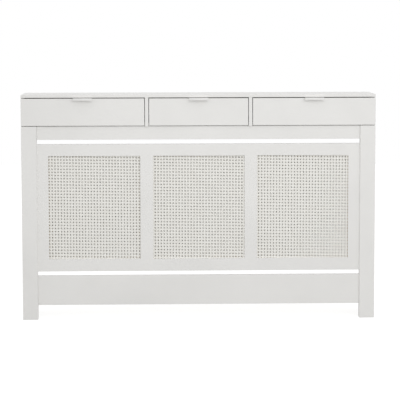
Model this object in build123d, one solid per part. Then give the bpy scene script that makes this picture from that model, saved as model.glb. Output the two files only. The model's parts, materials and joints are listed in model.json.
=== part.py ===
from build123d import *
import math
import os

# Radiator cover cabinet: three shallow drawers over a frame with three woven cane panels.
# Millimetres.  X runs along the cabinet, Y from front to back, Z up.  The origin is on the
# floor, in the middle of the box that holds the cabinet and the pulls in front of it.

os.makedirs("parts", exist_ok=True)

# ---------------------------------------------------------------- driving dimensions
WIDTH = 1520.0

# Board thicknesses
TOP_T = 12.0
BOARD_T = 15.0  # sides, deck, dividers and back rail
PANEL_T = 18.0  # upper rail, cane frame and lower rail
ARRIS = 0.8  # softened edge of a painted board

# The front, from the floor up
FOOT_GAP = 63.0
LOWER_RAIL_H = 127.5
LOWER_SLOT = 18.5
FRAME_FOOT = 53.5
OPENING_H = 446.0
FRAME_HEAD = 50.5
UPPER_SLOT = 20.0
UPPER_RAIL_H = 57.0
GAP_UNDER_FRONT = 3.0
FRONT_H = 116.5
GAP_OVER_FRONT = 3.5

# The front, from side to side
LEG_W = 65.0
LEG_T = 27.0
STILE_W = 50.0  # upright edge of the cane frame, beside a leg
MULLION_W = 54.0
MIDDLE_FRONT_W = 425.0
FRONT_SIDE_GAP = 2.5

# Cut-out of the side panels over the skirting board of the room
SKIRTING_H = 120.0
SKIRTING_D = 20.0

# Rebate behind each opening, which holds the cane and its beads
LIP_T = 6.0
REBATE_W = 12.0
REBATE_CLEARANCE = 0.5
BACKING_T = 3.0
BACKING_MARGIN = 18.0  # past the openings, on the back of the frame

# Octagonal cane webbing: upright, level and two slanting sets of strands
CANE_PITCH_X = 12.9
CANE_PITCH_Z = 13.5
PAIR_W = 5.7  # a pair of upright or level strands, side by side
SLANT_W = 2.2  # a single slanting strand
STRAND_SETS = 4
STRAND_T = 0.45
STRAND_STEP = 0.1  # air between one set of strands and the next
CANE_RIM_W = 8.0  # glued edge of the webbing, inside the rebate
RIM_SETBACK = 0.5  # the full thickness of the rim starts this far past the strands

# Drawers
FRONT_T = 16.0
BUMPER_T = 1.2
BUMPER_W = 9.0
BUMPER_INSET = 28.0
STOP_GAP = 0.3  # between a closed drawer's bumpers and the deck
BOX_SIDE_T = 12.0
BOX_SIDE_H = 80.0
BOX_LENGTH = 175.0
BOX_BACK_GAP = 14.0  # air between a closed box and the back rail
BOX_LIFT = 4.0  # from the deck to the bottom edge of the box
BOX_PLAY = 3.5  # between the box and the cabinet on each side
BOTTOM_T = 3.0
BOTTOM_UP = 8.0  # from the bottom edge of the box to the bottom panel
BOTTOM_GROOVE_D = 5.0
BOTTOM_GROOVE_PLAY = 0.2

# Guide strips on the cabinet, in grooves of the box sides
GUIDE_T = 10.0
GUIDE_H = 16.4
GUIDE_END_GAP = 0.5  # the strip ends this far before the end of a closed box
GUIDE_UP = 32.0  # from the bottom edge of the box to the middle of the strip
GUIDE_PLAY = 0.3  # above and below the strip
GUIDE_SETBACK = 8.0  # from the front edge of the deck to the strip
GUIDE_NOSE = 5.0
GROOVE_D = 7.0
GROOVE_LEAD = 3.0  # the groove starts this far in front of the strip

# Edge pull, folded from sheet
PULL_W = 82.0
PULL_T = 1.5
PULL_REACH = 16.0
PULL_LIP_H = 6.0
PULL_FLANGE_H = 22.0
PULL_BEND_R = 2.0

# Brackets that hold the cabinet to the wall
BRACKET_T = 2.0
BRACKET_W = 20.0
BRACKET_LEG = 30.0
BRACKET_HOLE_R = 2.6
BRACKET_HOLE_DROP = 18.0  # from the deck to the middle of the hole
BRACKET_INSET = 160.0  # from the end of the cabinet to the middle of a bracket

# Flat steel plates that tie the ends of the front pieces to the legs
PLATE_L = 50.0
PLATE_H = 18.0
PLATE_T = 2.0
PLATE_INSET = 25.0  # from the edge of a board to the middle of its plate

# Plastic corner blocks, screwed both ways
BLOCK_W = 20.0
BLOCK_L = 34.0
BLOCK_BEVEL = 9.0
SIDE_BLOCK_INSET = 95.0  # from the end of a leg to the middle of a block
RAIL_BLOCK_SPACING = 440.0
DECK_BLOCK_SPACING = 90.0

# ---------------------------------------------------------------- levels and planes
z_lower_rail_top = FOOT_GAP + LOWER_RAIL_H
z_frame = z_lower_rail_top + LOWER_SLOT
z_opening = z_frame + FRAME_FOOT
z_opening_top = z_opening + OPENING_H
z_frame_top = z_opening_top + FRAME_HEAD
z_upper_rail = z_frame_top + UPPER_SLOT
z_leg_top = z_upper_rail + UPPER_RAIL_H
z_deck_top = z_leg_top + BOARD_T
z_front = z_leg_top + GAP_UNDER_FRONT
z_front_top = z_front + FRONT_H
z_top_board = z_front_top + GAP_OVER_FRONT
z_box = z_deck_top + BOX_LIFT
z_guide = z_box + GUIDE_UP
z_bottom = z_box + BOTTOM_UP

depth = FRONT_T + BOX_LENGTH + BOX_BACK_GAP + BOARD_T  # from the leg fronts to the wall
y_face = -(depth - PULL_REACH) / 2
y_wall = y_face + depth
y_leg_back = y_face + LEG_T
y_panel_face = y_leg_back - PANEL_T
y_front_back = y_face + FRONT_T
y_carcass = y_front_back + BUMPER_T + STOP_GAP
y_back_rail = y_wall - BOARD_T
y_cane = y_panel_face + LIP_T
y_guide = y_carcass + GUIDE_SETBACK
y_box_end = y_front_back + BOX_LENGTH
y_guide_end = y_box_end - GUIDE_END_GAP

x_side = WIDTH / 2 - BOARD_T
x_leg = WIDTH / 2 - LEG_W
x_divider = MIDDLE_FRONT_W / 2 + FRONT_SIDE_GAP
x_divider_out = x_divider + BOARD_T
opening_w = (2 * x_leg - 2 * STILE_W - 2 * MULLION_W) / 3
opening_step = opening_w + MULLION_W
z_opening_mid = z_opening + OPENING_H / 2
cane_t = STRAND_SETS * STRAND_T + (STRAND_SETS - 1) * STRAND_STEP

COLUMNS = {"left": -1, "middle": 0, "right": 1}


# ---------------------------------------------------------------- helpers
def save(name, solid):
    """Write one piece, or one group of like pieces, to its own file."""
    export_step(solid, f"parts/{name}.step")


def block(x, y, z):
    """A solid between pairs of planes: x, y and z are (low, high)."""
    size = [high - low for low, high in (x, y, z)]
    middle = [(high + low) / 2 for low, high in (x, y, z)]
    return Pos(*middle) * Box(*size)


def board(x, y, z):
    """A painted board: a block with all its edges softened."""
    solid = block(x, y, z)
    return chamfer(solid.edges(), ARRIS)


def mirrored(x, side):
    """The pair x on the left (-1) or right (+1) of the cabinet."""
    return tuple(sorted((side * x[0], side * x[1])))


def side_profile(points, x):
    """Extrude the outline of (y, z) points from x[0] to x[1]."""
    face = make_face(Polyline(*points, close=True))
    return extrude(Plane((x[0], 0, 0), x_dir=(0, 1, 0), z_dir=(1, 0, 0)) * face, x[1] - x[0])


def front_sheet(face, y, thickness):
    """Extrude a face drawn as seen from the front, from the plane y towards the wall."""
    return extrude(Plane((0, y, 0), x_dir=(1, 0, 0), z_dir=(0, -1, 0)) * face, -thickness)


# ---------------------------------------------------------------- carcass
def side_panel(side):
    """Side with a nose over the leg at the top and a cut-out for the skirting behind."""
    outline = [
        (y_leg_back, 0),
        (y_wall - SKIRTING_D, 0),
        (y_wall - SKIRTING_D, SKIRTING_H),
        (y_wall, SKIRTING_H),
        (y_wall, z_top_board),
        (y_carcass, z_top_board),
        (y_carcass, z_leg_top),
        (y_leg_back, z_leg_top),
    ]
    return side_profile(outline, mirrored((x_side, WIDTH / 2), side))


def divider(side):
    """Upright between two drawers, with a nose that covers the edge of the deck."""
    outline = [
        (y_face, z_leg_top),
        (y_carcass, z_leg_top),
        (y_carcass, z_deck_top),
        (y_back_rail, z_deck_top),
        (y_back_rail, z_top_board),
        (y_face, z_top_board),
    ]
    return side_profile(outline, mirrored((x_divider, x_divider_out), side))


def carcass():
    """Top, sides, legs, deck, dividers and back rail."""
    top_x = (-WIDTH / 2, WIDTH / 2)
    save("top_board", board(top_x, (y_face, y_wall), (z_top_board, z_top_board + TOP_T)))
    save("drawer_deck", block((-x_side, x_side), (y_carcass, y_wall), (z_leg_top, z_deck_top)))
    save("back_rail", block((-x_side, x_side), (y_back_rail, y_wall), (z_deck_top, z_top_board)))
    for name, side in (("left", -1), ("right", 1)):
        save(f"{name}_side_panel", side_panel(side))
        leg_x = mirrored((x_leg, WIDTH / 2), side)
        save(f"{name}_leg", board(leg_x, (y_face, y_leg_back), (0, z_leg_top)))
        save(f"{name}_divider", divider(side))


# ---------------------------------------------------------------- front with the cane
def opening_sketch(grow):
    """The three openings as rectangles, larger by grow on every edge."""
    holes = [
        Pos(column * opening_step, z_opening_mid) * Rectangle(opening_w + 2 * grow, OPENING_H + 2 * grow)
        for column in COLUMNS.values()
    ]
    return Sketch() + holes


def cane_frame():
    """One routed sheet with three openings, each with a rebate behind it."""
    middle = (z_frame + z_frame_top) / 2
    outline = Pos(0, middle) * Rectangle(2 * x_leg, z_frame_top - z_frame)
    lip = front_sheet(outline - opening_sketch(0), y_panel_face, LIP_T)
    behind = front_sheet(outline - opening_sketch(REBATE_W), y_cane, PANEL_T - LIP_T)
    return lip + behind


def slanting_slots(width, height):
    """Gaps between slanting strands, which pass between the holes of the webbing."""
    spacing = 1 / math.hypot(1 / CANE_PITCH_X, 1 / CANE_PITCH_Z)
    slope = math.degrees(math.atan2(CANE_PITCH_Z, CANE_PITCH_X))
    reach = math.hypot(width, height)
    count = int((width / CANE_PITCH_X + height / CANE_PITCH_Z) / 2) - 1
    slots = [
        Rot(0, 0, slope) * Pos(0, n * spacing) * Rectangle(reach, spacing - SLANT_W)
        for n in range(-count, count + 1)
    ]
    return Rectangle(width, height) & (Sketch() + slots)


def cane_sheet():
    """Webbing for one opening: four sets of strands that meet in a common rim."""
    reach = REBATE_W - REBATE_CLEARANCE
    outer_w = opening_w + 2 * reach
    outer_h = OPENING_H + 2 * reach
    inner_w = outer_w - 2 * CANE_RIM_W
    inner_h = outer_h - 2 * CANE_RIM_W
    columns = round(opening_w / CANE_PITCH_X)
    rows = round(OPENING_H / CANE_PITCH_Z)
    outer = Rectangle(outer_w, outer_h)
    upright_slot = Rectangle(CANE_PITCH_X - PAIR_W, inner_h)
    level_slot = Rectangle(inner_w, CANE_PITCH_Z - PAIR_W)
    upright = [place * upright_slot for place in GridLocations(CANE_PITCH_X, 1, columns, 1)]
    level = [place * level_slot for place in GridLocations(1, CANE_PITCH_Z, 1, rows)]
    slant = slanting_slots(inner_w, inner_h)
    sets = [outer - slant, outer - upright, outer - level, outer - mirror(slant, Plane.YZ)]
    rim = outer - Rectangle(inner_w + 2 * RIM_SETBACK, inner_h + 2 * RIM_SETBACK)
    sheet = front_sheet(rim, y_cane, cane_t)
    for layer, strands in enumerate(sets):
        sheet += front_sheet(strands, y_cane + layer * (STRAND_T + STRAND_STEP), STRAND_T)
    return Pos(0, 0, z_opening_mid) * sheet


def cane_beads(column):
    """Four mitred battens that clamp the webbing in the rebate."""
    y_bead = y_cane + cane_t
    reach = REBATE_W - REBATE_CLEARANCE
    signs = [(-1, -1), (1, -1), (1, 1), (-1, 1)]
    outer = [(x * (opening_w / 2 + reach), z * (OPENING_H / 2 + reach)) for x, z in signs]
    inner = [(x * opening_w / 2, z * OPENING_H / 2) for x, z in signs]
    battens = []
    for n in range(4):
        far = (n + 1) % 4
        face = make_face(Polyline(outer[n], outer[far], inner[far], inner[n], close=True))
        battens.append(front_sheet(face, y_bead, y_leg_back - y_bead))
    return Pos(column * opening_step, 0, z_opening_mid) * Compound(battens)


def front():
    """Upper rail, cane frame, lower rail and what the frame carries."""
    rail_y = (y_panel_face, y_leg_back)
    save("upper_rail", board((-x_leg, x_leg), rail_y, (z_upper_rail, z_leg_top)))
    save("lower_rail", board((-x_leg, x_leg), rail_y, (FOOT_GAP, z_lower_rail_top)))
    save("cane_frame", cane_frame())
    webbing = cane_sheet()
    for name, column in COLUMNS.items():
        save(f"{name}_cane_panel", Pos(column * opening_step, 0, 0) * webbing)
        save(f"{name}_cane_beads", cane_beads(column))
    half_w = opening_step + opening_w / 2 + BACKING_MARGIN
    backing_z = (z_opening - BACKING_MARGIN, z_opening_top + BACKING_MARGIN)
    save("cane_backing_board", block((-half_w, half_w), (y_leg_back, y_leg_back + BACKING_T), backing_z))


# ---------------------------------------------------------------- drawers
def drawer_front(x, groove_x):
    """Front with a groove behind for the bottom panel, as long as the pair groove_x."""
    groove = block(
        groove_x,
        (y_front_back - BOTTOM_GROOVE_D, y_front_back),
        (z_bottom, z_bottom + BOTTOM_T + BOTTOM_GROOVE_PLAY),
    )
    return board(x, (y_face, y_front_back), (z_front, z_front_top)) - groove


def box_side(x_outer, inward):
    """Box side whose outer face is at x_outer; inward is +1 or -1 along X."""
    z = (z_box, z_box + BOX_SIDE_H)
    x_inner = x_outer + inward * BOX_SIDE_T
    solid = block(sorted((x_outer, x_inner)), (y_front_back, y_box_end), z)
    groove_half = GUIDE_H / 2 + GUIDE_PLAY
    groove = block(
        sorted((x_outer, x_outer + inward * GROOVE_D)),
        (y_guide - GROOVE_LEAD, y_box_end),
        (z_guide - groove_half, z_guide + groove_half),
    )
    slot = block(
        sorted((x_inner, x_inner - inward * BOTTOM_GROOVE_D)),
        (y_front_back, y_box_end),
        (z_bottom, z_bottom + BOTTOM_T + BOTTOM_GROOVE_PLAY),
    )
    return solid - groove - slot


def guide_strip(x_wall, inward):
    """Guide strip screwed to the cabinet wall at x_wall, bevelled at its front end."""
    strip = block(
        sorted((x_wall, x_wall + inward * GUIDE_T)),
        (y_guide, y_guide_end),
        (z_guide - GUIDE_H / 2, z_guide + GUIDE_H / 2),
    )
    nose = strip.edges().filter_by(Axis.X).group_by(Axis.Y)[0]
    return chamfer(nose, GUIDE_NOSE)


def edge_pull(x_mid):
    """Sheet folded over the top edge of the front, with a short lip in front."""
    z_plate = z_front_top + PULL_T
    y_lip = y_face - PULL_REACH
    outline = [
        (y_front_back, z_front_top - PULL_FLANGE_H),
        (y_front_back + PULL_T, z_front_top - PULL_FLANGE_H),
        (y_front_back + PULL_T, z_plate),
        (y_lip, z_plate),
        (y_lip, z_plate - PULL_LIP_H),
        (y_lip + PULL_T, z_plate - PULL_LIP_H),
        (y_lip + PULL_T, z_front_top),
        (y_front_back, z_front_top),
    ]
    solid = side_profile(outline, (x_mid - PULL_W / 2, x_mid + PULL_W / 2))
    bends = solid.edges().filter_by(Axis.X).group_by(Axis.Z)[-1]
    return fillet(bends, PULL_BEND_R)


def bumpers(x):
    """Two felt pads behind the front, which meet the edge of the deck."""
    z = (z_front + z_deck_top) / 2
    places = [x[0] + BUMPER_INSET, x[1] - BUMPER_INSET]
    pad = Box(BUMPER_W, BUMPER_T, BUMPER_W)
    return Compound([Pos(place, y_front_back + BUMPER_T / 2, z) * pad for place in places])


def drawer(name, walls, front_x):
    """One drawer: walls are the cabinet faces beside it, front_x the ends of its front."""
    x_low = walls[0] + BOX_PLAY
    x_high = walls[1] - BOX_PLAY
    inner = (x_low + BOX_SIDE_T, x_high - BOX_SIDE_T)
    in_grooves = (inner[0] - BOTTOM_GROOVE_D, inner[1] + BOTTOM_GROOVE_D)
    back_y = (y_box_end - BOX_SIDE_T, y_box_end)
    bottom_y = (y_front_back - BOTTOM_GROOVE_D, y_box_end)
    z_panel = (z_bottom, z_bottom + BOTTOM_T)
    save(f"{name}_drawer_front", drawer_front(front_x, in_grooves))
    save(f"{name}_drawer_left_side", box_side(x_low, 1))
    save(f"{name}_drawer_right_side", box_side(x_high, -1))
    save(f"{name}_drawer_back", block(inner, back_y, (z_panel[1], z_box + BOX_SIDE_H)))
    save(f"{name}_drawer_bottom", block(in_grooves, bottom_y, z_panel))
    save(f"{name}_drawer_pull", edge_pull((front_x[0] + front_x[1]) / 2))
    save(f"{name}_drawer_bumpers", bumpers(front_x))
    save(f"{name}_drawer_guides", Compound([guide_strip(walls[0], 1), guide_strip(walls[1], -1)]))


def drawers():
    """Two wide drawers that cover the sides, and a narrow one between the dividers."""
    front_in = x_divider_out + FRONT_SIDE_GAP
    for name, side in (("left", -1), ("right", 1)):
        drawer(name, mirrored((x_divider_out, x_side), side), mirrored((front_in, WIDTH / 2), side))
    drawer("middle", (-x_divider, x_divider), (-MIDDLE_FRONT_W / 2, MIDDLE_FRONT_W / 2))


# ---------------------------------------------------------------- fittings
def joint_plates():
    """Flat plates behind the legs, one or more for the end of each front piece."""
    levels = [
        FOOT_GAP + PLATE_INSET,
        z_lower_rail_top - PLATE_INSET,
        z_frame + PLATE_INSET,
        z_opening_mid,
        z_frame_top - PLATE_INSET,
        (z_upper_rail + z_leg_top) / 2,
    ]
    return Compound([
        Pos(side * x_leg, y_leg_back + PLATE_T / 2, z) * Box(PLATE_L, PLATE_T, PLATE_H)
        for side in (-1, 1)
        for z in levels
    ])


def corner_block(corner, u, v):
    """Block in the inner corner of two boards; u and v point along them, away from it."""
    along = u.cross(v)
    profile = [
        Vector(0, 0, 0),
        u * BLOCK_W,
        u * BLOCK_W + v * (BLOCK_W - BLOCK_BEVEL),
        u * (BLOCK_W - BLOCK_BEVEL) + v * BLOCK_W,
        v * BLOCK_W,
    ]
    face = make_face(Polyline(*[corner + p - along * (BLOCK_L / 2) for p in profile], close=True))
    return extrude(face, BLOCK_L, dir=along)


def corner_blocks():
    """Blocks from leg to side, from side to deck and from upper rail to deck."""
    back, down = Vector(0, 1, 0), Vector(0, 0, -1)
    blocks = []
    for side in (-1, 1):
        inward = Vector(-side, 0, 0)
        for z in (SIDE_BLOCK_INSET, z_leg_top / 2, z_leg_top - SIDE_BLOCK_INSET):
            blocks.append(corner_block(Vector(side * x_side, y_leg_back, z), inward, back))
        for step in (-1, 1):
            y = (y_leg_back + y_wall + step * DECK_BLOCK_SPACING) / 2
            blocks.append(corner_block(Vector(side * x_side, y, z_leg_top), inward, down))
    for step in (-1, 0, 1):
        blocks.append(corner_block(Vector(step * RAIL_BLOCK_SPACING, y_leg_back, z_leg_top), back, down))
    return Compound(blocks)


def wall_bracket(x_mid):
    """Steel angle under the deck, with a hole for the screw into the wall."""
    outline = [
        (y_wall, z_leg_top),
        (y_wall - BRACKET_LEG, z_leg_top),
        (y_wall - BRACKET_LEG, z_leg_top - BRACKET_T),
        (y_wall - BRACKET_T, z_leg_top - BRACKET_T),
        (y_wall - BRACKET_T, z_leg_top - BRACKET_LEG),
        (y_wall, z_leg_top - BRACKET_LEG),
    ]
    angle = side_profile(outline, (x_mid - BRACKET_W / 2, x_mid + BRACKET_W / 2))
    drill = Rot(90, 0, 0) * Cylinder(BRACKET_HOLE_R, 3 * BRACKET_T)
    return angle - Pos(x_mid, y_wall - BRACKET_T / 2, z_leg_top - BRACKET_HOLE_DROP) * drill


carcass()
front()
drawers()
save("joint_plates", joint_plates())
save("corner_blocks", corner_blocks())
save("left_wall_bracket", wall_bracket(BRACKET_INSET - WIDTH / 2))
save("right_wall_bracket", wall_bracket(WIDTH / 2 - BRACKET_INSET))
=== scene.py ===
"""Radiator cover cabinet: the looks of the part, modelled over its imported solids.

The boards keep the solids' own shapes and get their finishes here.  The cane webbing is woven
strand by strand, the drawer pulls are folded from sheet, and the screws and staples are added.
Metres, X along the cabinet, Y from front to back, Z up.
"""

import json
import logging
import math
from collections.abc import Callable, Iterable, Sequence
from dataclasses import dataclass, field
from enum import Enum

import bmesh
import bpy
from mathutils import Matrix, Vector


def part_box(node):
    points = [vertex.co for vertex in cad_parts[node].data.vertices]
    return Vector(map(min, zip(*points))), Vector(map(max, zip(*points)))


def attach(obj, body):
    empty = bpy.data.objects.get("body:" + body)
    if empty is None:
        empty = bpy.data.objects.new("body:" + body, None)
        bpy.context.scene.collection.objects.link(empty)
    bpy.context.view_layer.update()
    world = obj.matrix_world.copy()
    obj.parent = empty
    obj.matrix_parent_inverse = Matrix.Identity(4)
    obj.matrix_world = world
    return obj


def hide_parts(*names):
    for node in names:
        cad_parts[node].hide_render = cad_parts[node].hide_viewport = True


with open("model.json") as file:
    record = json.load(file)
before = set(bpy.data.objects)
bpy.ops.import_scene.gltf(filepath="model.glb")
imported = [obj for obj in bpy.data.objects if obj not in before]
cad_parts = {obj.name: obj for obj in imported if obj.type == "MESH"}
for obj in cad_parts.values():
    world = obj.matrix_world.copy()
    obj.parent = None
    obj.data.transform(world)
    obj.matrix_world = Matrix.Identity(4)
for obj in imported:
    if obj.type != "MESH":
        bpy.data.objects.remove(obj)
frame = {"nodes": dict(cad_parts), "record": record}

Socket = bpy.types.NodeSocket
Settings = dict[str | int, object]
Links = dict[str | int, Socket]

# A span goes from one value to another.  A stop is a place on a pattern, with its colour.
Span = tuple[float, float]
Stop = tuple[float, str]

MM = 0.001
CABINET = "cabinet"
COLUMNS = ("left", "middle", "right")

log = logging.getLogger("radiator_cover")


# ------------------------------------------------------------------ small tools
def linear(hex_colour: str) -> tuple[float, ...]:
    """Turn an sRGB colour into linear light.

    Args:
        hex_colour: A hash and six hex digits.

    Returns:
        Red, green, blue and an alpha of 1, as a shader socket takes them.
    """
    values = [int(hex_colour[at : at + 2], 16) / 255 for at in (1, 3, 5)]
    return tuple(v / 12.92 if v <= 0.04045 else ((v + 0.055) / 1.055) ** 2.4 for v in values) + (1.0,)


def add_node(
    tree: bpy.types.NodeTree, kind: str, settings: Settings | None = None, links: Links | None = None
) -> bpy.types.Node:
    """Add one node with its settings and links.

    Args:
        tree: The node tree of a material or of the world.
        kind: The type name of the node.
        settings: Values of its properties and inputs, and "stops" for a colour ramp.
        links: The output that feeds each input.

    Returns:
        The new node.
    """
    node = tree.nodes.new(kind)
    for key, value in (settings or {}).items():
        if key == "stops":
            ramp = node.color_ramp.elements
            for element, (position, colour) in zip(ramp, value, strict=True):
                element.position, element.color = position, linear(colour)
        elif isinstance(key, int) or key in node.inputs:
            node.inputs[key].default_value = value
        else:
            setattr(node, key, value)
    for key, source in (links or {}).items():
        tree.links.new(source, node.inputs[key])
    return node


def clear_selection() -> None:
    """Leave edit mode and deselect every object."""
    if bpy.context.object and bpy.context.object.mode != "OBJECT":
        bpy.ops.object.mode_set(mode="OBJECT")
    bpy.ops.object.select_all(action="DESELECT")


def pick(piece: bpy.types.Object) -> None:
    """Make a piece the only selected object, and the active one.

    Args:
        piece: The object to pick.
    """
    clear_selection()
    piece.select_set(True)
    bpy.context.view_layer.objects.active = piece


def edit(piece: bpy.types.Object, mode: str = "VERT") -> None:
    """Open a piece in edit mode with nothing selected.

    Args:
        piece: The object to shape.
        mode: What is selected: VERT, EDGE or FACE.
    """
    pick(piece)
    bpy.ops.object.mode_set(mode="EDIT")
    bpy.ops.mesh.select_mode(type=mode)
    bpy.ops.mesh.select_all(action="DESELECT")


def select_points(piece: bpy.types.Object, wanted: Callable[[Vector], bool]) -> None:
    """Select some points of the piece in edit mode, and nothing else.

    Args:
        piece: The object in edit mode.
        wanted: Says whether the point at a place is selected.
    """
    bpy.ops.mesh.select_all(action="DESELECT")
    mesh = bmesh.from_edit_mesh(piece.data)
    for vert in mesh.verts:
        if wanted(vert.co):
            vert.select_set(True)
    mesh.select_flush(True)
    bmesh.update_edit_mesh(piece.data)


def select_edges(piece: bpy.types.Object, wanted: Callable[[Vector, Vector], bool]) -> None:
    """Select some edges of the piece in edit mode, and nothing else.

    Args:
        piece: The object in edit mode.
        wanted: Says whether the edge between two places is selected.
    """
    bpy.ops.mesh.select_all(action="DESELECT")
    mesh = bmesh.from_edit_mesh(piece.data)
    for edge in mesh.edges:
        if wanted(edge.verts[0].co, edge.verts[1].co):
            edge.select_set(True)
    bmesh.update_edit_mesh(piece.data)


def place_in_mesh(piece: bpy.types.Object) -> None:
    """Move the place, turn and size of an object into its mesh."""
    pick(piece)
    bpy.ops.object.transform_apply(location=True, rotation=True, scale=True)


def smooth(piece: bpy.types.Object, sharpest: float) -> None:
    """Shade a piece smooth, apart from edges that turn by more than sharpest degrees."""
    pick(piece)
    bpy.ops.object.shade_smooth_by_angle(angle=math.radians(sharpest))


def use_modifier(piece: bpy.types.Object, kind: str, **settings: object) -> None:
    """Add a modifier with its settings, and apply it.

    Args:
        piece: The object to shape.
        kind: The type name of the modifier.
        settings: Values of its properties.
    """
    pick(piece)
    modifier = piece.modifiers.new(kind.lower(), kind)
    for key, value in settings.items():
        setattr(modifier, key, value)
    bpy.ops.object.modifier_apply(modifier=modifier.name)


def joined(pieces: Sequence[bpy.types.Object]) -> bpy.types.Object:
    """Join several objects.

    Args:
        pieces: The objects, of which the first one stays.

    Returns:
        The one object that holds all of them.
    """
    pick(pieces[0])
    for piece in pieces[1:]:
        piece.select_set(True)
    bpy.ops.object.join()
    return pieces[0]


def copied(piece: bpy.types.Object, matrix: Matrix) -> bpy.types.Object:
    """Copy a piece with its own mesh.

    Args:
        piece: The piece to copy, with its place in its mesh.
        matrix: Where the copy goes.

    Returns:
        The copy, with its place in its mesh.
    """
    pick(piece)
    bpy.ops.object.duplicate()
    twin = bpy.context.object
    twin.matrix_world = matrix
    place_in_mesh(twin)
    return twin


def hand_over(
    piece: bpy.types.Object, name: str, body: str, stands_for: Iterable[str] = ()
) -> None:
    """Name a finished piece, tie it to the model and report it.

    Args:
        piece: The finished object, at the origin.
        name: Its name.
        body: The body that it moves with.
        stands_for: The solids that it replaces.
    """
    piece.name = piece.data.name = name
    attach(piece, body)
    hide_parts(*stands_for)
    triangles = sum(len(face.vertices) - 2 for face in piece.data.polygons)
    log.info("%s: %d triangles, moves with %s", name, triangles, body)


# ------------------------------------------------------------------ finishes
class Look:
    """A new material, with its shader and the piece's own coordinates."""

    def __init__(self, name: str, sockets: dict[str, float]) -> None:
        """Start the material.

        Args:
            name: The real material and how its surface was made.
            sockets: Values that are the same all over the surface.
        """
        self.material = bpy.data.materials.new(name)
        self.material.use_nodes = True
        self.tree = self.material.node_tree
        self.shader = self.tree.nodes["Principled BSDF"]
        for socket, value in sockets.items():
            self.shader.inputs[socket].default_value = value
        self.place = self.add("ShaderNodeTexCoord").outputs["Object"]

    def add(self, kind: str, settings: Settings | None = None, links: Links | None = None) -> bpy.types.Node:
        """Add a node to this material, as add_node does."""
        return add_node(self.tree, kind, settings, links)

    def feed(self, socket: str, source: Socket) -> None:
        """Link an output to an input of the shader."""
        self.tree.links.new(source, self.shader.inputs[socket])

    def surface(
        self,
        colour: tuple[Socket, Stop, Stop],
        relief: tuple[Socket, float, float],
        gloss: tuple[Socket, float, float] | None = None,
    ) -> bpy.types.Material:
        """Let patterns set the colour, the relief and the gloss.

        Args:
            colour: A pattern, and two places on it with their colours.
            relief: A pattern, how strongly it shows, and its height in metres.
            gloss: A pattern, and the roughness where it is 0 and where it is 1.

        Returns:
            The finished material.
        """
        pattern, *stops = colour
        tone = self.add("ShaderNodeValToRGB", {"stops": stops}, {"Fac": pattern})
        self.feed("Base Color", tone.outputs["Color"])
        pattern, strength, depth = relief
        bump = self.add("ShaderNodeBump", {"Strength": strength, "Distance": depth}, {"Height": pattern})
        self.feed("Normal", bump.outputs["Normal"])
        if gloss:
            pattern, low, high = gloss
            rough = self.add("ShaderNodeMapRange", {"To Min": low, "To Max": high}, {"Value": pattern})
            self.feed("Roughness", rough.outputs["Result"])
        return self.material


@dataclass(frozen=True)
class SprayedLacquer:
    """Satin acrylic lacquer, sprayed on fibreboard and sanded between coats.

    The eye gets an even, faintly warm white whose reflections are broken up by a very shallow
    orange peel, and a film that is a trace thinner here and there.
    """

    name: str = "satin_acrylic_lacquer_sprayed"
    full: Stop = (0.62, "#E9E8E6")
    thin: Stop = (0.3, "#E5E4E2")
    cloud: float = 230 * MM
    sheen_patch: float = 60 * MM
    sheen: Span = (0.36, 0.48)
    peel: float = 2.6 * MM
    peel_strength: float = 0.35
    peel_depth: float = 0.03 * MM

    def material(self) -> bpy.types.Material:
        """Make the material.

        Returns:
            The lacquer.
        """
        look = Look(self.name, {"IOR": 1.49})
        cloud, patch, peel = (
            look.add(
                "ShaderNodeTexNoise", {"Scale": 1 / size, "Detail": detail}, {"Vector": look.place}
            ).outputs["Fac"]
            for size, detail in ((self.cloud, 2.0), (self.sheen_patch, 2.0), (self.peel, 1.0))
        )
        return look.surface(
            colour=(cloud, self.thin, self.full),
            relief=(peel, self.peel_strength, self.peel_depth),
            gloss=(patch, *self.sheen),
        )


@dataclass(frozen=True)
class MelamineBoard:
    """Board faced with white melamine paper, pressed against an embossed plate.

    The eye gets a slightly cooler white than the lacquer, with a fine pearl emboss that dulls
    its reflections evenly.
    """

    name: str = "white_melamine_pearl_pressed"
    full: Stop = (0.7, "#EAEBEA")
    dull: Stop = (0.1, "#E3E4E3")
    sheen: Span = (0.42, 0.56)
    pearl: float = 0.9 * MM
    pearl_strength: float = 0.4
    pearl_depth: float = 0.03 * MM

    def material(self) -> bpy.types.Material:
        """Make the material.

        Returns:
            The melamine.
        """
        look = Look(self.name, {"IOR": 1.5})
        cells = look.add("ShaderNodeTexVoronoi", {"Scale": 1 / self.pearl}, {"Vector": look.place})
        pearl = cells.outputs["Distance"]
        return look.surface(
            colour=(pearl, self.dull, self.full),
            relief=(pearl, self.pearl_strength, self.pearl_depth),
            gloss=(pearl, *self.sheen),
        )


class Axis(Enum):
    """The axis across a thin sheet, by the output of a Separate XYZ node."""

    Y = "Y"
    Z = "Z"


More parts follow.
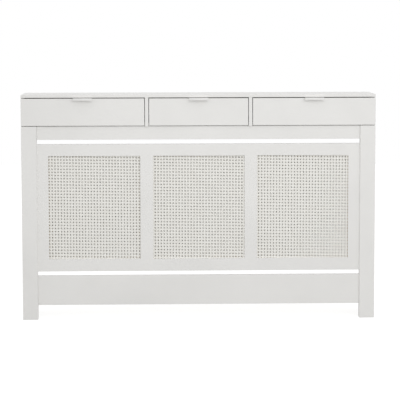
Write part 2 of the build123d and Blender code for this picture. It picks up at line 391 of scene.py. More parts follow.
@dataclass(frozen=True)
class PaintedHardboard:
    """Hardboard, pressed smooth on one face and against a wire screen on the other.

    The eye gets flat white paint on the face that shows, and bare brown fibres with the print of
    the screen on the other one.
    """

    name: str
    across: Axis
    level: float
    white_above: bool
    white: Stop = (0.7, "#FBFAF7")
    white_shade: Stop = (0.3, "#F7F6F2")
    fibre_light: Stop = (0.7, "#98734D")
    fibre_dark: Stop = (0.3, "#6B4B30")
    fibre: float = 4 * MM
    bare_to_painted: Span = (0.82, 0.5)
    screen: float = 1.6 * MM
    screen_strength: float = 0.35
    screen_depth: float = 0.08 * MM

    def material(self) -> bpy.types.Material:
        """Make the material.

        Returns:
            The hardboard, painted on one side of its level.
        """
        look = Look(self.name, {"IOR": 1.45})
        fibres = look.add(
            "ShaderNodeTexNoise",
            {"Scale": 1 / self.fibre, "Detail": 6.0, "Distortion": 1.2},
            {"Vector": look.place},
        )
        brown, white = (
            look.add("ShaderNodeValToRGB", {"stops": stops}, {"Fac": fibres.outputs["Fac"]})
            for stops in ((self.fibre_dark, self.fibre_light), (self.white_shade, self.white))
        )
        axes = look.add("ShaderNodeSeparateXYZ", links={"Vector": look.place})
        painted = look.add(
            "ShaderNodeMath",
            {"operation": "GREATER_THAN" if self.white_above else "LESS_THAN", 1: self.level},
            {0: axes.outputs[self.across.value]},
        ).outputs["Value"]
        tone = look.add(
            "ShaderNodeMix",
            {"data_type": "RGBA"},
            {0: painted, 6: brown.outputs["Color"], 7: white.outputs["Color"]},
        )
        bare, smooth = self.bare_to_painted
        gloss = look.add("ShaderNodeMapRange", {"To Min": bare, "To Max": smooth}, {"Value": painted})
        screen = look.add(
            "ShaderNodeTexVoronoi", {"Scale": 1 / self.screen, "Randomness": 0.1}, {"Vector": look.place}
        )
        relief = look.add(
            "ShaderNodeBump",
            {"Strength": self.screen_strength, "Distance": self.screen_depth},
            {"Height": screen.outputs["Distance"]},
        )
        look.feed("Base Color", tone.outputs[2])
        look.feed("Roughness", gloss.outputs["Result"])
        look.feed("Normal", relief.outputs["Normal"])
        return look.material


@dataclass(frozen=True)
class PlanedSpruce:
    """Bare spruce batten, planed.

    The eye gets pale yellow wood with narrow darker rings along the batten and a dry surface.
    """

    name: str = "spruce_planed_bare"
    light: Stop = (0.35, "#DFC69A")
    ring: Stop = (0.9, "#C29F69")
    ring_step: float = 2.2 * MM
    waves_per_step: float = 0.3
    ring_strength: float = 0.3
    ring_depth: float = 0.05 * MM

    def material(self) -> bpy.types.Material:
        """Make the material.

        Returns:
            The spruce.
        """
        look = Look(self.name, {"IOR": 1.5, "Roughness": 0.72})
        scale = self.waves_per_step / self.ring_step
        waves = look.add(
            "ShaderNodeTexWave",
            {"wave_type": "RINGS", "Scale": scale, "Distortion": 5.0, "Detail": 2.0},
            {"Vector": look.place},
        )
        rings = waves.outputs["Fac"]
        return look.surface(
            colour=(rings, self.light, self.ring), relief=(rings, self.ring_strength, self.ring_depth)
        )


class Run(Enum):
    """The way that a strand of cane runs across the panel, by its angle from upright."""

    UPRIGHT = 0.0
    LEVEL = 90.0
    RISING = 43.7
    FALLING = -43.7


@dataclass(frozen=True)
class LacqueredCane:
    """Peel of rattan cane, woven and then sprayed white.

    The eye gets a satin white with fine fibre lines along each strand, which soak up the paint
    unevenly, so that one strand is a little warmer than the next.
    """

    run: Run
    white: Stop = (0.8, "#F2F1ED")
    warm: Stop = (0.45, "#EAE7E0")
    sheen: Span = (0.38, 0.55)
    fibre: tuple[float, float, float] = (0.35 * MM, 1.0, 9 * MM)
    fibre_share: float = 0.35
    fibre_strength: float = 0.5
    fibre_depth: float = 0.04 * MM
    strand: tuple[float, float, float] = (2.4 * MM, 1.0, 70 * MM)

    def material(self) -> bpy.types.Material:
        """Make the material.

        Returns:
            The cane for strands that run one way.
        """
        look = Look(f"rattan_peel_sprayed_white_{self.run.name.lower()}", {"IOR": 1.48})
        turn = (0.0, math.radians(self.run.value), 0.0)
        patterns = []
        for size, detail in ((self.fibre, 2.0), (self.strand, 1.0)):
            along = look.add(
                "ShaderNodeMapping",
                {"vector_type": "TEXTURE", "Rotation": turn, "Scale": size},
                {"Vector": look.place},
            )
            lines = look.add(
                "ShaderNodeTexNoise", {"Scale": 1.0, "Detail": detail}, {"Vector": along.outputs["Vector"]}
            )
            patterns.append(lines.outputs["Fac"])
        fibres, strands = patterns
        soaked = look.add(
            "ShaderNodeMath", {"operation": "MULTIPLY_ADD", 1: self.fibre_share}, {0: fibres, 2: strands}
        )
        return look.surface(
            colour=(soaked.outputs["Value"], self.warm, self.white),
            relief=(fibres, self.fibre_strength, self.fibre_depth),
            gloss=(fibres, *self.sheen),
        )


@dataclass(frozen=True)
class PowderCoat:
    """White polyester powder, baked on steel sheet.

    The eye gets a dense, dull white with a fine, even grain where the powder flowed together.
    """

    name: str = "polyester_powder_baked_on_steel"
    full: Stop = (0.55, "#EAE9E7")
    pit: Stop = (0.3, "#E0DFDD")
    sheen: Span = (0.4, 0.55)
    grain: float = 0.8 * MM
    grain_strength: float = 0.5
    grain_depth: float = 0.04 * MM

    def material(self) -> bpy.types.Material:
        """Make the material.

        Returns:
            The powder coat.
        """
        look = Look(self.name, {"IOR": 1.52})
        noise = look.add(
            "ShaderNodeTexNoise", {"Scale": 1 / self.grain, "Detail": 3.0}, {"Vector": look.place}
        )
        grain = noise.outputs["Fac"]
        return look.surface(
            colour=(grain, self.pit, self.full),
            relief=(grain, self.grain_strength, self.grain_depth),
            gloss=(grain, *self.sheen),
        )


@dataclass(frozen=True)
class ZincPlate:
    """Bright zinc, plated on pressed steel and passivated.

    The eye gets a cool, slightly milky metal with faint blue and straw patches, and a soft
    mottle in its gloss.
    """

    name: str = "zinc_plated_steel_passivated"
    blue: Stop = (0.35, "#B9C0C6")
    straw: Stop = (0.65, "#C9C6BB")
    patch: float = 9 * MM
    sheen: Span = (0.24, 0.44)
    mottle: float = 1.4 * MM
    mottle_strength: float = 0.3
    mottle_depth: float = 0.02 * MM

    def material(self) -> bpy.types.Material:
        """Make the material.

        Returns:
            The zinc.
        """
        look = Look(self.name, {"Metallic": 1.0})
        patch, mottle = (
            look.add(
                "ShaderNodeTexNoise", {"Scale": 1 / size, "Detail": detail}, {"Vector": look.place}
            ).outputs["Fac"]
            for size, detail in ((self.patch, 2.0), (self.mottle, 4.0))
        )
        return look.surface(
            colour=(patch, self.blue, self.straw),
            relief=(mottle, self.mottle_strength, self.mottle_depth),
            gloss=(mottle, *self.sheen),
        )


@dataclass(frozen=True)
class MouldedPlastic:
    """White polypropylene, injection moulded against a spark-eroded tool.

    The eye gets a milky, waxy white with a fine matt grain.
    """

    name: str = "polypropylene_injection_moulded"
    full: Stop = (0.6, "#ECECEA")
    shade: Stop = (0.25, "#E2E2DF")
    sheen: Span = (0.42, 0.58)
    grain: float = 0.5 * MM  # coarser than the tool's own, so that it shows
    grain_strength: float = 0.4
    grain_depth: float = 0.03 * MM

    def material(self) -> bpy.types.Material:
        """Make the material.

        Returns:
            The plastic.
        """
        look = Look(self.name, {"IOR": 1.49, "Subsurface Weight": 0.15, "Subsurface Scale": 1.5 * MM})
        noise = look.add(
            "ShaderNodeTexNoise", {"Scale": 1 / self.grain, "Detail": 2.0}, {"Vector": look.place}
        )
        grain = noise.outputs["Fac"]
        return look.surface(
            colour=(grain, self.shade, self.full),
            relief=(grain, self.grain_strength, self.grain_depth),
            gloss=(grain, *self.sheen),
        )


@dataclass(frozen=True)
class PressedFelt:
    """Pressed wool felt, die-cut into pads.

    The eye gets a soft, dry off-white with a tangle of darker fibres and no gloss.
    """

    name: str = "wool_felt_pressed"
    light: Stop = (0.65, "#D5D2CA")
    dark: Stop = (0.3, "#ADA89C")
    fibre: float = 0.6 * MM
    fibre_strength: float = 0.8
    fibre_depth: float = 0.12 * MM

    def material(self) -> bpy.types.Material:
        """Make the material.

        Returns:
            The felt.
        """
        look = Look(self.name, {"Roughness": 0.95, "Sheen Weight": 0.3, "IOR": 1.5})
        tangle = look.add(
            "ShaderNodeTexNoise",
            {"Scale": 1 / self.fibre, "Detail": 5.0, "Distortion": 2.5},
            {"Vector": look.place},
        )
        fibres = tangle.outputs["Fac"]
        return look.surface(
            colour=(fibres, self.dark, self.light), relief=(fibres, self.fibre_strength, self.fibre_depth)
        )


class Finishes:
    """All finishes of the cabinet, each made once."""

    def __init__(self) -> None:
        """Make every material."""
        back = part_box("cane_backing_board")
        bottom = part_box("middle_drawer_bottom")
        self.by_slot: dict[str, bpy.types.Material] = {
            "painted_board": SprayedLacquer().material(),
            "drawer_board": MelamineBoard().material(),
            "bead_wood": PlanedSpruce().material(),
            "pull_metal": PowderCoat().material(),
            "zinc_steel": ZincPlate().material(),
            "white_plastic": MouldedPlastic().material(),
            "felt": PressedFelt().material(),
        }
        self.cane = {run: LacqueredCane(run).material() for run in Run}
        self.backing = PaintedHardboard(
            "hardboard_painted_in_front", Axis.Y, (back[0].y + back[1].y) / 2, white_above=False
        ).material()
        self.drawer_bottom = PaintedHardboard(
            "hardboard_painted_on_top", Axis.Z, (bottom[0].z + bottom[1].z) / 2, white_above=True
        ).material()

    def for_node(self, node: str, slot: str) -> bpy.types.Material:
        """Choose the finish of a solid.

        Args:
            node: The name of the solid.
            slot: Its material slot in the record.

        Returns:
            The material that it wears.
        """
        if slot == "cane":
            return self.cane[Run.UPRIGHT]
        if slot == "hardboard":
            return self.backing if node == "cane_backing_board" else self.drawer_bottom
        return self.by_slot[slot]

    def dress_solids(self) -> None:
        """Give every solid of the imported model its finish."""
        for part in frame["record"]["subparts"]:
            solid = frame["nodes"][part["node"]]
            finish = self.for_node(part["node"], part["material_slot"])
            for slot in solid.material_slots:
                slot.material = finish
            log.info("%s: %s", part["node"], finish.name)


# ------------------------------------------------------------------ cane webbing
# Each bend of a strand is a share of its length, and how far it stands behind the sheet's middle.
Bends = tuple[tuple[float, float], ...]

# The width and the height of a triangle whose corners are 1 from its middle.
TRIANGLE_W = math.sqrt(3)
TRIANGLE_H = 1.5


@dataclass(frozen=True)
class Stretch:
    """The stretch of one strand that lies inside one cell of the weave."""

    run: Run
    start: tuple[float, float]
    end: tuple[float, float]
    width: float
    bends: Bends


@dataclass(frozen=True)
class Cut:
    """How the webbing of one opening was cut from the roll."""

    cells_x: int
    shift_x: float
    shift_z: float


@dataclass
class CaneWebbing:
    """Octagonal webbing: upright and level pairs, woven, with slanting strands both ways.

    At a crossing of two pairs each strand goes over one strand of the other pair and under the
    next.  Half-way between crossings a pair has a rising strand in front of it and a falling one
    behind, or the other way round, so the slanting strands cut the corners of each hole.
    """

    finishes: Finishes
    pitch_x: float = 12.9 * MM
    pitch_z: float = 13.5 * MM
    droop: float = math.tan(math.radians(0.9))
    left: Cut = Cut(32, -1.9 * MM, 1.5 * MM)
    middle: Cut = Cut(31, -0.95 * MM, 1.7 * MM)
    right: Cut = Cut(31, -2.4 * MM, 1.7 * MM)
    cells_z: int = 34
    pair_step: float = 3.3 * MM
    pair_strand: float = 2.95 * MM
    slant_strand: float = 2.8 * MM
    strand_t: float = 0.5 * MM
    pair_lift: float = 0.27 * MM
    slant_lift: float = 0.52 * MM
    slant_crossing: Span = (0.35, 0.65)  # the shares of its length where it changes faces
    slant_lift_at_crossing: float = 0.8  # how much of its lift it has there
    smooth_angle: float = 60.0
    rim_w: float = 11 * MM
    rim_edge: float = 0.2 * MM
    merge: float = 0.01 * MM

    def drooping(self, x: float, z: float) -> Vector:
        """Give the place of a point of the weave, whose level strands droop to the right."""
        return Vector((x, 0, z - self.droop * x))

    def weave(self, pitch: float, side: int) -> Bends:
        """Bend a strand of a pair round the two strands that it crosses.

        Args:
            pitch: The length of the cell along the strand.
            side: 1 where it passes behind the first of them, and -1 where it passes in front.

        Returns:
            Its bends.
        """
        reach = self.pair_step / 2 / pitch
        return ((0.5 - reach, side * self.pair_lift), (0.5 + reach, -side * self.pair_lift))

    def slant(self, side: int) -> Bends:
        """Bend a slanting strand past the pairs, from one face of the webbing to the other.

        Args:
            side: 1 where it starts at the back, and -1 where it starts in front.

        Returns:
            Its bends.
        """
        lift = side * self.slant_lift
        held = self.slant_lift_at_crossing * lift
        near, far = self.slant_crossing
        return ((0.0, lift), (near, held), (far, -held), (1.0, -lift))

    def stretches(self) -> list[Stretch]:
        """List the stretches of strand in the cell round one crossing of pairs.

        Returns:
            Two upright and two level stretches, and four slanting ones.
        """
        half_x, half_z, step = self.pitch_x / 2, self.pitch_z / 2, self.pair_step / 2
        found = []
        for side in (-1, 1):
            at, wide = side * step, self.pair_strand
            upright, level = self.weave(self.pitch_z, side), self.weave(self.pitch_x, -side)
            found.append(Stretch(Run.UPRIGHT, (at, -half_z), (at, half_z), wide, upright))
            found.append(Stretch(Run.LEVEL, (-half_x, at), (half_x, at), wide, level))
        slanting = (
            (Run.RISING, (-half_x, 0.0), (0.0, half_z), 1),
            (Run.RISING, (0.0, -half_z), (half_x, 0.0), -1),
            (Run.FALLING, (-half_x, 0.0), (0.0, -half_z), -1),
            (Run.FALLING, (0.0, half_z), (half_x, 0.0), 1),
        )
        for run, start, end, side in slanting:
            found.append(Stretch(run, start, end, self.slant_strand, self.slant(side)))
        return found

    def model_stretch(self, stretch: Stretch, origin: Vector) -> bpy.types.Object:
        """Model a stretch as a flat strand with a ridge along its front, open at its ends.

        Args:
            stretch: Where it runs within its cell.
            origin: The middle of that cell.

        Returns:
            The strand.
        """
        start = origin + self.drooping(*stretch.start)
        end = origin + self.drooping(*stretch.end)
        along = end - start
        tilt = math.atan2(along.x, along.z)
        clear_selection()
        bpy.ops.mesh.primitive_cylinder_add(
            vertices=3,
            radius=1.0,
            depth=along.length,
            end_fill_type="NOTHING",
            location=(start + end) / 2,
            rotation=(0, -tilt, math.pi),
        )
        strand = bpy.context.object
        strand.scale = (stretch.width / TRIANGLE_W, self.strand_t / TRIANGLE_H, 1)
        place_in_mesh(strand)
        strand.data.materials.append(self.finishes.cane[stretch.run])
        edit(strand)
        for share, depth in stretch.bends:
            at = start + along * share
            if 0 < share < 1:
                bpy.ops.mesh.select_all(action="SELECT")
                bpy.ops.mesh.bisect(plane_co=at, plane_no=along)
            select_points(strand, lambda point: abs((point - at).dot(along.normalized())) < self.merge)
            bpy.ops.transform.translate(value=(0, depth, 0))
        return strand

    def model_rim(self, middle: Vector, reach_x: float, reach_z: float) -> bpy.types.Object:
        """Model the glued edge of the webbing, which lies in the rebate behind the frame.

        Args:
            middle: The middle of the panel.
            reach_x: Half of its width.
            reach_z: Half of its height.

        Returns:
            The rim.
        """
        clear_selection()
        bpy.ops.mesh.primitive_plane_add(size=2, location=middle, rotation=(math.pi / 2, 0, 0))
        rim = bpy.context.object
        rim.scale = (reach_x, reach_z, 1)
        place_in_mesh(rim)
        rim.data.materials.append(self.finishes.cane[Run.LEVEL])
        edit(rim, "FACE")
        bpy.ops.mesh.select_all(action="SELECT")
        bpy.ops.mesh.inset(thickness=self.rim_w, use_even_offset=True)
        bpy.ops.mesh.delete(type="FACE")
        use_modifier(rim, "SOLIDIFY", thickness=2 * self.strand_t, offset=0.0)
        use_modifier(rim, "BEVEL", width=self.rim_edge, segments=2)
        return rim

    def model_sheet(self, panel: str, cut: Cut) -> bpy.types.Object:
        """Weave the webbing of one opening.

        Args:
            panel: The solid that it replaces.
            cut: The number of cells and their place in the opening.

        Returns:
            The webbing with its rim.
        """
        low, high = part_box(panel)
        middle = (low + high) / 2
        first = self.drooping((1 - cut.cells_x) * self.pitch_x / 2, (1 - self.cells_z) * self.pitch_z / 2)
        corner = middle + Vector((cut.shift_x, 0, cut.shift_z)) + first
        sheet = joined([self.model_stretch(stretch, corner) for stretch in self.stretches()])
        for count, step in (
            (cut.cells_x, self.drooping(self.pitch_x, 0)),
            (self.cells_z, self.drooping(0, self.pitch_z)),
        ):
            use_modifier(
                sheet,
                "ARRAY",
                count=count,
                use_relative_offset=False,
                use_constant_offset=True,
                constant_offset_displace=step,
                use_merge_vertices=True,
                merge_threshold=self.merge,
            )
        edit(sheet)
        bpy.ops.mesh.select_non_manifold()
        bpy.ops.mesh.fill_holes(sides=3)
        bpy.ops.mesh.select_all(action="SELECT")
        bpy.ops.mesh.normals_make_consistent(inside=False)
        smooth(sheet, self.smooth_angle)
        rim = self.model_rim(middle, (high.x - low.x) / 2, (high.z - low.z) / 2)
        return joined([sheet, rim])

    def build(self) -> None:
        """Hang a sheet of webbing behind each opening."""
        for name, cut in (("left", self.left), ("middle", self.middle), ("right", self.right)):
            panel = f"{name}_cane_panel"
            hand_over(self.model_sheet(panel, cut), f"{name}_cane_webbing", CABINET, [panel])


# ------------------------------------------------------------------ drawer pulls
@dataclass
class EdgePull:
    """Steel sheet folded over the top edge of a drawer front, with a short lip to pull on."""

    finishes: Finishes
    sheet_t: float = 1.5 * MM
    lip_h: float = 10.0 * MM
    bend_r: float = 1.25 * MM
    corner_r: float = 2.0 * MM
    edge_r: float = 0.25 * MM
    edge_angle: float = 50.0
    smooth_angle: float = 40.0

    def model(self, drawer: str) -> bpy.types.Object:
        """Fold the pull of one drawer.

        Args:
            drawer: left, middle or right.

        Returns:
            The pull, in its place on the front.
        """
        low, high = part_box(f"{drawer}_drawer_pull")
        half = self.sheet_t / 2
        front, back = low.y + half, high.y - half
        plate = high.z - half
        lip = high.z - self.lip_h
        clear_selection()
        bpy.ops.mesh.primitive_plane_add(size=1, location=((low.x + high.x) / 2, (front + back) / 2, plate))
        pull = bpy.context.object
        pull.scale = (high.x - low.x, back - front, 1)
        place_in_mesh(pull)
        pull.data.materials.append(self.finishes.by_slot["pull_metal"])
        edit(pull, "EDGE")
        for edge_y, foot in ((front, lip), (back, low.z)):
            select_edges(pull, lambda a, b: abs(a.y - edge_y) < half and abs(b.y - edge_y) < half)
            bpy.ops.mesh.extrude_edges_move(TRANSFORM_OT_translate={"value": (0, 0, foot - plate)})
        select_points(pull, lambda point: point.z < plate - half)
        bpy.ops.mesh.bevel(offset=self.corner_r, segments=4, affect="VERTICES")
        select_edges(
            pull,
            lambda a, b: min(a.z, b.z) > plate - half
            and abs(a.y - b.y) < half
            and (abs(a.y - front) < half or abs(a.y - back) < half),
        )
        bpy.ops.mesh.bevel(offset=self.bend_r, segments=4)
        bpy.ops.mesh.select_all(action="SELECT")
        bpy.ops.mesh.normals_make_consistent(inside=False)
        use_modifier(pull, "SOLIDIFY", thickness=self.sheet_t, offset=0.0, use_even_offset=True)
        limit = math.radians(self.edge_angle)
        use_modifier(pull, "BEVEL", width=self.edge_r, segments=2, limit_method="ANGLE", angle_limit=limit)
        smooth(pull, self.smooth_angle)
        return pull

    def build(self) -> None:
        """Fold the pull of every drawer."""
        for name in COLUMNS:
            pull, body = self.model(name), f"{name}_drawer"
            hand_over(pull, f"{name}_folded_pull", body, [f"{name}_drawer_pull"])


# ------------------------------------------------------------------ screws and staples
@dataclass(frozen=True)
class Seat:
    """Where a fastener sits: a point on a face, the way out of it, and a turn about that way."""

    point: Vector
    out: Vector
    turn: float = 0.0

    def matrix(self, more_turn: float) -> Matrix:
        """Give the transform from a fastener at the origin, facing up, to this seat.

        Args:
            more_turn: A turn on top of the seat's own.

        Returns:
            The transform.
        """
        facing = self.out.to_track_quat("Z", "Y").to_matrix().to_4x4()
        return Matrix.Translation(self.point) @ facing @ Matrix.Rotation(self.turn + more_turn, 4, "Z")


@dataclass
class Fasteners:
    """The screw heads and staples that show on the fittings and on the back."""

    finishes: Finishes
    head_r: float = 3.3 * MM
    head_h: float = 1.9 * MM
    dome: float = 1.2 * MM
    cross_l: float = 3.6 * MM
    cross_w: float = 0.9 * MM
    cross_depth: float = 1.2 * MM
    smooth_angle: float = 35.0
    screw_scatter: float = 2.4
    staple_l: float = 10.5 * MM
    staple_w: float = 1.1 * MM
    staple_h: float = 0.6 * MM
    staple_bend: float = 0.5 * MM
    staple_edge: float = 0.15 * MM
    staple_step: float = 115 * MM
    staple_inset: float = 7 * MM
    plate_l: float = 50 * MM
    plate_inset: float = 25 * MM
    plate_screws: tuple[float, ...] = (-18.5 * MM, -8 * MM, 8 * MM, 18.5 * MM)
    block_w: float = 20 * MM
    block_flat: float = 11 * MM
    block_inset: float = 95 * MM
    block_screws: tuple[float, ...] = (-10 * MM, 6 * MM)
    block_stagger: float = 4 * MM
    deck_block_reach: float = 45 * MM
    rail_block_step: float = 440 * MM
    bracket_t: float = 2 * MM
    bracket_screw_in: float = 11 * MM
    flange_screw_out: float = 27 * MM
    flange_screw_up: float = 8.5 * MM
    bottom_screw_in: float = 6 * MM
    bottom_screws: tuple[float, ...] = (0.12, 0.5, 0.88)
    hair: float = 0.01 * MM
    made: int = field(default=0, init=False)

    def model_screw(self) -> bpy.types.Object:
        """Model a pan head with a cross recess, standing on the origin.

        Returns:
            The screw head.
        """
        clear_selection()
        bpy.ops.mesh.primitive_cylinder_add(
            vertices=16, radius=self.head_r, depth=self.head_h, location=(0, 0, self.head_h / 2)
        )
        head = bpy.context.object
        place_in_mesh(head)
        edit(head, "EDGE")
        top = self.head_h - self.hair
        select_edges(head, lambda a, b: a.z > top and b.z > top)
        bpy.ops.mesh.bevel(offset=self.dome, segments=3)
        for turn in (0.0, math.pi / 2):
            clear_selection()
            bpy.ops.mesh.primitive_cube_add(size=1, location=(0, 0, self.head_h), rotation=(0, 0, turn))
            cutter = bpy.context.object
            cutter.scale = (self.cross_l, self.cross_w, 2 * self.cross_depth)
            place_in_mesh(cutter)
            use_modifier(head, "BOOLEAN", operation="DIFFERENCE", object=cutter, solver="EXACT")
            bpy.data.objects.remove(cutter)
        head.data.materials.clear()
        head.data.materials.append(self.finishes.by_slot["zinc_steel"])
        smooth(head, self.smooth_angle)
        return head

    def model_staple(self) -> bpy.types.Object:
        """Model the crown of a staple, standing on the origin, with its two bends.

        Returns:
            The crown.
        """
        clear_selection()
        bpy.ops.mesh.primitive_cube_add(size=1, location=(0, 0, self.staple_h / 2))
        crown = bpy.context.object
        crown.scale = (self.staple_l, self.staple_w, self.staple_h)
        place_in_mesh(crown)
        edit(crown, "EDGE")
        top = self.staple_h - self.hair
        select_edges(crown, lambda a, b: a.z > top and b.z > top and abs(a.x - b.x) < self.staple_w / 2)
        bpy.ops.mesh.bevel(offset=self.staple_bend, segments=3)
        use_modifier(crown, "BEVEL", width=self.staple_edge, segments=1, limit_method="ANGLE")
        crown.data.materials.append(self.finishes.by_slot["zinc_steel"])
        return crown

    def drive(
        self, pattern: bpy.types.Object, name: str, body: str, seats: Sequence[Seat], scatter: float
    ) -> None:
        """Put a copy of a fastener on every seat, as one piece.

        Args:
            pattern: The fastener at the origin.
            name: The name of the group.
            body: The body that it moves with.
            seats: Where the copies go.
            scatter: How much more each one is turned than the one before.
        """
        group = joined([copied(pattern, seat.matrix(n * scatter)) for n, seat in enumerate(seats)])
        self.made += len(seats)
        hand_over(group, name, body)

    def plate_seats(self) -> list[Seat]:
        """Give four seats on each flat plate: two over the leg and two over the board.

        Returns:
            The seats of all plates, first on the left.
        """
        plates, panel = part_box("joint_plates"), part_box("middle_cane_panel")
        lower, frame_, upper = (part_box(node) for node in ("lower_rail", "cane_frame", "upper_rail"))
        levels = (
            lower[0].z + self.plate_inset,
            lower[1].z - self.plate_inset,
            frame_[0].z + self.plate_inset,
            (panel[0].z + panel[1].z) / 2,
            frame_[1].z - self.plate_inset,
            (upper[0].z + upper[1].z) / 2,
        )
        middle = plates[1].x - self.plate_l / 2
        return [
            Seat(Vector((side * middle + across, plates[1].y, level)), Vector((0, 1, 0)))
            for side in (-1, 1)
            for level in levels
            for across in self.plate_screws
        ]

    def seats_on_block(self, corner: Vector, first: Vector, second: Vector) -> list[Seat]:
        """Give two seats on each of the two flat faces of a corner block.

        Args:
            corner: The middle of the edge where its two boards meet.
            first: The way along one board, out of the corner.
            second: The way along the other board, out of the corner.

        Returns:
            The four seats.
        """
        along = first.cross(second)
        seats = []
        for shift in self.block_screws:
            place = corner + first * self.block_w + second * self.block_flat / 2
            seats.append(Seat(place + along * shift, first))
            place = corner + second * self.block_w + first * self.block_flat / 2
            seats.append(Seat(place + along * (shift + self.block_stagger), second))
        return seats

    def block_seats(self) -> list[Seat]:
        """Give the seats of all corner blocks, from the legs to the deck.

        Returns:
            The seats, four on each block.
        """
        low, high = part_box("corner_blocks")
        leg_top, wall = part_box("left_leg")[1].z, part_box("drawer_deck")[1].y
        back, down = Vector((0, 1, 0)), Vector((0, 0, -1))
        deck_middle = (low.y + wall) / 2
        seats = []
        for side in (-1, 1):
            inward = Vector((-side, 0, 0))
            for level in (self.block_inset, leg_top / 2, leg_top - self.block_inset):
                seats += self.seats_on_block(Vector((side * high.x, low.y, level)), inward, back)
            for step in (-self.deck_block_reach, self.deck_block_reach):
                corner = Vector((side * high.x, deck_middle + step, leg_top))
                seats += self.seats_on_block(corner, inward, down)
        for x in (-self.rail_block_step, 0, self.rail_block_step):
            seats += self.seats_on_block(Vector((x, low.y, leg_top)), back, down)
        return seats

    def bracket_seats(self) -> list[Seat]:
        """Give a seat in each steel angle, up into the deck.

        Returns:
            The left seat and the right one.
        """
        seats = []
        for name in ("left", "right"):
            low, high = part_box(f"{name}_wall_bracket")
            place = Vector(((low.x + high.x) / 2, low.y + self.bracket_screw_in, high.z - self.bracket_t))
            seats.append(Seat(place, Vector((0, 0, -1))))
        return seats

    def flange_seats(self, drawer: str) -> list[Seat]:
        """Give two seats in the flange of a pull, behind the drawer front.

        Args:
            drawer: left, middle or right.

        Returns:
            The two seats.
        """
        low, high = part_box(f"{drawer}_drawer_pull")
        middle, level = (low.x + high.x) / 2, low.z + self.flange_screw_up
        return [
            Seat(Vector((middle + out, high.y, level)), Vector((0, 1, 0)))
            for out in (-self.flange_screw_out, self.flange_screw_out)
        ]

    def bottom_seats(self, drawer: str) -> list[Seat]:
        """Give three seats under the back edge of a drawer bottom.

        Args:
            drawer: left, middle or right.

        Returns:
            The three seats.
        """
        low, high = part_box(f"{drawer}_drawer_bottom")
        row = high.y - self.bottom_screw_in
        return [
            Seat(Vector((low.x + share * (high.x - low.x), row, low.z)), Vector((0, 0, -1)))
            for share in self.bottom_screws
        ]

    def staple_seats(self) -> list[Seat]:
        """Give the seats round the backing board and up the two bars between the openings.

        Returns:
            The level staples first, then the upright ones.
        """
        low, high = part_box("cane_backing_board")
        bar = (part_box("middle_cane_panel")[1].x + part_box("right_cane_panel")[0].x) / 2
        back = Vector((0, 1, 0))
        seats = []
        count = round((high.x - low.x) / self.staple_step)
        for n in range(count):
            x = low.x + (n + 0.5) * (high.x - low.x) / count
            for z in (low.z + self.staple_inset, high.z - self.staple_inset):
                seats.append(Seat(Vector((x, high.y, z)), back))
        count = round((high.z - low.z) / self.staple_step)
        for n in range(count):
            z = low.z + (n + 0.5) * (high.z - low.z) / count
            for x in (low.x + self.staple_inset, -bar, bar, high.x - self.staple_inset):
                seats.append(Seat(Vector((x, high.y, z)), back, math.pi / 2))
        return seats

    def build(self) -> None:
        """Drive all screws and staples."""
        screw, staple = self.model_screw(), self.model_staple()
        self.drive(screw, "joint_plate_screws", CABINET, self.plate_seats(), self.screw_scatter)
        self.drive(screw, "corner_block_screws", CABINET, self.block_seats(), self.screw_scatter)
        self.drive(screw, "wall_bracket_screws", CABINET, self.bracket_seats(), self.screw_scatter)
        self.drive(staple, "backing_board_staples", CABINET, self.staple_seats(), 0.0)
        for name in COLUMNS:
            body = f"{name}_drawer"
            rows = {"pull": self.flange_seats(name), "drawer_bottom": self.bottom_seats(name)}
            for place, seats in rows.items():
                self.drive(screw, f"{name}_{place}_screws", body, seats, self.screw_scatter)
        for pattern in (screw, staple):
            bpy.data.objects.remove(pattern)
        log.info("fasteners: %d in all", self.made)


# ------------------------------------------------------------------ studio
@dataclass(frozen=True)
class SoftBox:
    """A rectangular soft light."""

    name: str
    place: tuple[float, float, float]
    aim: tuple[float, float, float]
    width: float
    height: float
    power: float

    def hang(self) -> None:
        """Hang the light in its place, turned to its aim."""
        way = Vector(self.aim) - Vector(self.place)
        turn = way.to_track_quat("-Z", "Y").to_euler()
        bpy.ops.object.light_add(type="AREA", location=self.place, rotation=turn)
        lamp = bpy.context.object
        lamp.name = self.name
        lamp.data.shape = "RECTANGLE"
        lamp.data.size, lamp.data.size_y = self.width, self.height
        lamp.data.energy = self.power
        log.info("%s: %g W", self.name, self.power)


@dataclass(frozen=True)
class PhotoCamera:
    """The camera of the photograph: far off, above the top, and turned a little to the right."""

    place: tuple[float, float, float] = (-0.1676, -6.6, 1.2822)
    lens: float = 136.85
    sensor_w: float = 36.0
    shift_y: float = -0.12
    turn: float = -1.524
    tilt: float = 4.902
    lean: float = -0.114

    def set_up(self) -> None:
        """Add the camera and make it the scene's own."""
        turn = (
            Matrix.Rotation(math.radians(self.turn), 3, "Z")
            @ Matrix.Rotation(math.radians(90 - self.tilt), 3, "X")
            @ Matrix.Rotation(math.radians(self.lean), 3, "Z")
        )
        bpy.ops.object.camera_add(location=self.place, rotation=turn.to_euler())
        camera = bpy.context.object
        camera.name = "photo_camera"
        camera.data.lens = self.lens
        camera.data.sensor_width = self.sensor_w
        camera.data.shift_y = self.shift_y
        bpy.context.scene.camera = camera


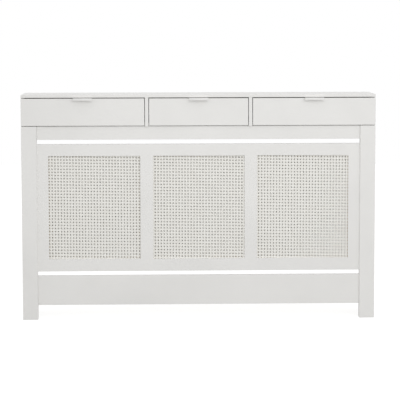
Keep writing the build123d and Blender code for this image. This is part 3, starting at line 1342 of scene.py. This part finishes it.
@dataclass
class Studio:
    """White seamless floor and background, a key from the upper right and a low fill in front."""

    floor_size: float = 14.0
    floor_tone: str = "#B4B4B2"
    floor_glow: float = 0.73
    paper_grain: float = 10 / 9 * MM  # coarser than real paper, so that it shows
    paper_strength: float = 0.15
    paper_depth: float = 0.05 * MM
    white: str = "#FFFFFF"
    sky_strength: float = 0.82
    key: SoftBox = SoftBox("key_soft_box", (1.4, -4.0, 2.8), (0.0, 0.0, 0.55), 2.2, 1.8, 31.0)
    fill: SoftBox = SoftBox("fill_soft_box", (0.3, -4.6, 0.75), (0.0, 0.0, 0.5), 2.4, 1.2, 28.0)

    def seen_straight(self, tree: bpy.types.NodeTree) -> Socket:
        """Add a factor that is 1 for what the camera, a gloss or glass sees, and 0 for light.

        Args:
            tree: The tree of the floor or of the world.

        Returns:
            The output with the factor.
        """
        ray = add_node(tree, "ShaderNodeLightPath").outputs
        seen = ray["Is Camera Ray"]
        for other in (ray["Is Glossy Ray"], ray["Is Transmission Ray"]):
            either = add_node(tree, "ShaderNodeMath", {"operation": "MAXIMUM"}, {0: seen, 1: other})
            seen = either.outputs["Value"]
        return seen

    def lay_floor(self) -> None:
        """Lay a pale paper floor, which glows only to the camera and keeps the shadow."""
        clear_selection()
        bpy.ops.mesh.primitive_plane_add(size=self.floor_size, location=(0, 0, 0))
        floor = bpy.context.object
        floor.name = "paper_floor"
        look = Look("seamless_paper_matt", {"Roughness": 0.95, "Specular IOR Level": 0.1})
        grain = look.add(
            "ShaderNodeTexNoise", {"Scale": 1 / self.paper_grain, "Detail": 2.0}, {"Vector": look.place}
        )
        relief = look.add(
            "ShaderNodeBump",
            {"Strength": self.paper_strength, "Distance": self.paper_depth},
            {"Height": grain.outputs["Fac"]},
        )
        look.feed("Normal", relief.outputs["Normal"])
        look.shader.inputs["Base Color"].default_value = linear(self.floor_tone)
        look.shader.inputs["Emission Color"].default_value = linear(self.white)
        glow = look.add(
            "ShaderNodeMath",
            {"operation": "MULTIPLY", 1: self.floor_glow},
            {0: self.seen_straight(look.tree)},
        )
        look.feed("Emission Strength", glow.outputs["Value"])
        floor.data.materials.append(look.material)

    def light_sky(self) -> None:
        """Light evenly from all round, against a white background."""
        world = bpy.data.worlds.new("white_studio")
        bpy.context.scene.world = world
        world.use_nodes = True
        tree = world.node_tree
        output = tree.nodes["World Output"]
        light = tree.nodes["Background"]
        light.inputs["Color"].default_value = linear(self.white)
        light.inputs["Strength"].default_value = self.sky_strength
        white = add_node(tree, "ShaderNodeBackground", {"Color": linear(self.white), "Strength": 1.0})
        mix = add_node(
            tree,
            "ShaderNodeMixShader",
            links={0: self.seen_straight(tree), 1: light.outputs[0], 2: white.outputs[0]},
        )
        tree.links.new(mix.outputs[0], output.inputs["Surface"])

    def build(self) -> None:
        """Set up the whole studio."""
        self.lay_floor()
        self.light_sky()
        self.key.hang()
        self.fill.hang()
        PhotoCamera().set_up()
        bpy.context.scene.view_settings.view_transform = "Standard"


def main() -> None:
    """Dress the solids, add the modelled pieces, and set up the studio."""
    logging.basicConfig(level=logging.INFO, format="%(message)s")
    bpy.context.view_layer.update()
    finishes = Finishes()
    finishes.dress_solids()
    CaneWebbing(finishes).build()
    EdgePull(finishes).build()
    Fasteners(finishes).build()
    Studio().build()


if __name__ == "__main__":
    main()
